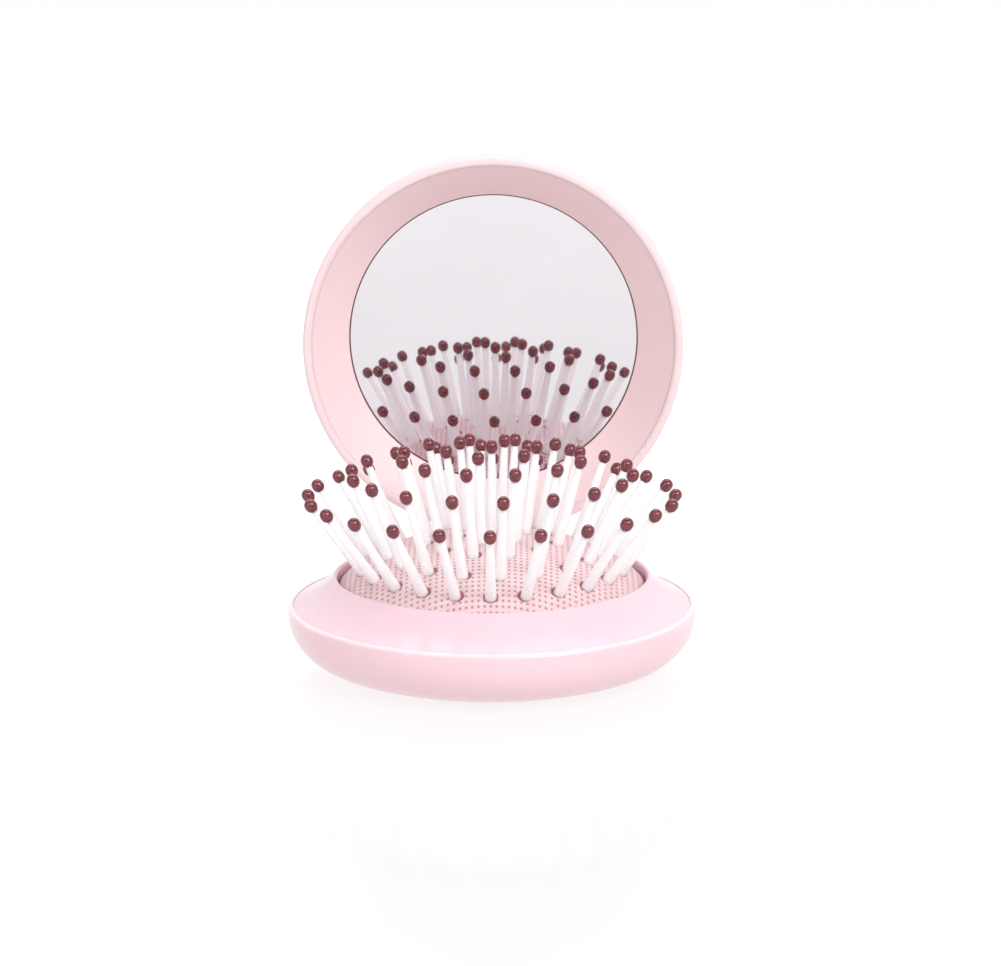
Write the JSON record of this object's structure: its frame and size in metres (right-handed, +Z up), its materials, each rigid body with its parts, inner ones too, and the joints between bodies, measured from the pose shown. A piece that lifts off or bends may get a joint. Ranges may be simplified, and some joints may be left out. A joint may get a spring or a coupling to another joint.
{
  "type": "folding hairbrush with mirror",
  "caption": "Round folding hairbrush: shallow pink bowl with a dished collar, domed rubber cushion with leaning ball-tipped pins, and a hinged lid that holds a round mirror.",
  "frame": {"origin": "centre of the foot, on the table", "axes": "+Z up, +Y towards the hinge and lid, the user stands at -Y, +X to the right of the user"},
  "size_m": [0.0804, 0.1002, 0.0964],
  "materials": {
    "pink_shell": "glossy pale pink",
    "pink_collar": "glossy pale pink",
    "pink_cone": "satin pink",
    "cushion_rubber": "matte salmon rubber with fine dimples",
    "pin_white": "satin white nylon",
    "ball_burgundy": "glossy burgundy",
    "button_pink": "satin pink",
    "inner_white": "plain moulded white",
    "steel": "drawn wire",
    "mirror": "silvered, polished",
    "foam": "soft black foam"
  },
  "bodies": {
    "base": {"base_bowl": "pink_shell", "base_collar": "pink_collar", "cushion": "cushion_rubber", "cushion_clamp_ring": "inner_white", "button_guide": "inner_white", "hinge_pin": "steel"},
    "lid": {"lid_shell": "pink_shell", "lid_bezel": "pink_cone", "mirror": "mirror", "mirror_foam_ring": "foam"},
    "button": {"push_button": "button_pink", "button_plate": "inner_white"},
    "pins_middle": {"pins_middle": "pin_white", "pin_balls_middle": "ball_burgundy"},
    "pin_sector_1": {"pins_sector_1": "pin_white", "pin_balls_sector_1": "ball_burgundy"},
    "pin_sector_2": {"pins_sector_2": "pin_white", "pin_balls_sector_2": "ball_burgundy"},
    "pin_sector_3": {"pins_sector_3": "pin_white", "pin_balls_sector_3": "ball_burgundy"},
    "pin_sector_4": {"pins_sector_4": "pin_white", "pin_balls_sector_4": "ball_burgundy"},
    "pin_sector_5": {"pins_sector_5": "pin_white", "pin_balls_sector_5": "ball_burgundy"},
    "pin_sector_6": {"pins_sector_6": "pin_white", "pin_balls_sector_6": "ball_burgundy"}
  },
  "joints": [
    {"name": "lid_hinge", "type": "hinge", "parent": "base", "child": "lid", "pos_m": [0, 0.0433, 0.013], "axis": [1, 0, 0], "range_deg": [0, 89]},
    {"name": "button_slide", "type": "slide", "parent": "base", "child": "button", "axis": [0, 0, 1], "range_m": [-0.0171, 0], "deforming": ["cushion"]},
    {"name": "middle_pins_slide", "type": "slide", "parent": "button", "child": "pins_middle", "axis": [0, 0, 1], "range_m": [-0.003, 0]},
    {"name": "sector_1_tilt", "type": "hinge", "parent": "button", "child": "pin_sector_1", "pos_m": [0.0067, -0.01617, 0.0168], "axis": [-0.9239, -0.3827, 0], "range_deg": [0, 17.5]},
    {"name": "sector_2_tilt", "type": "hinge", "parent": "button", "child": "pin_sector_2", "pos_m": [0.01735, -0.00228, 0.0168], "axis": [-0.1305, -0.9914, 0], "range_deg": [0, 17.5]},
    {"name": "sector_3_tilt", "type": "hinge", "parent": "button", "child": "pin_sector_3", "pos_m": [0.01065, 0.01388, 0.0168], "axis": [0.7934, -0.6088, 0], "range_deg": [0, 17.5]},
    {"name": "sector_4_tilt", "type": "hinge", "parent": "button", "child": "pin_sector_4", "pos_m": [-0.0067, 0.01617, 0.0168], "axis": [0.9239, 0.3827, 0], "range_deg": [0, 17.5]},
    {"name": "sector_5_tilt", "type": "hinge", "parent": "button", "child": "pin_sector_5", "pos_m": [-0.01735, 0.00228, 0.0168], "axis": [0.1305, 0.9914, 0], "range_deg": [0, 17.5]},
    {"name": "sector_6_tilt", "type": "hinge", "parent": "button", "child": "pin_sector_6", "pos_m": [-0.01065, -0.01388, 0.0168], "axis": [-0.7934, 0.6088, 0], "range_deg": [0, 17.5]}
  ],
  "couplings": [
    {"joint": "button_slide", "follows": "lid_hinge", "m_per_rad": -0.011008},
    {"joint": "middle_pins_slide", "follows": "lid_hinge", "m_per_rad": -0.001931},
    {"joint": "sector_1_tilt", "follows": "lid_hinge", "ratio": 0.19662},
    {"joint": "sector_2_tilt", "follows": "lid_hinge", "ratio": 0.19662},
    {"joint": "sector_3_tilt", "follows": "lid_hinge", "ratio": 0.19662},
    {"joint": "sector_4_tilt", "follows": "lid_hinge", "ratio": 0.19662},
    {"joint": "sector_5_tilt", "follows": "lid_hinge", "ratio": 0.19662},
    {"joint": "sector_6_tilt", "follows": "lid_hinge", "ratio": 0.19662}
  ]
}
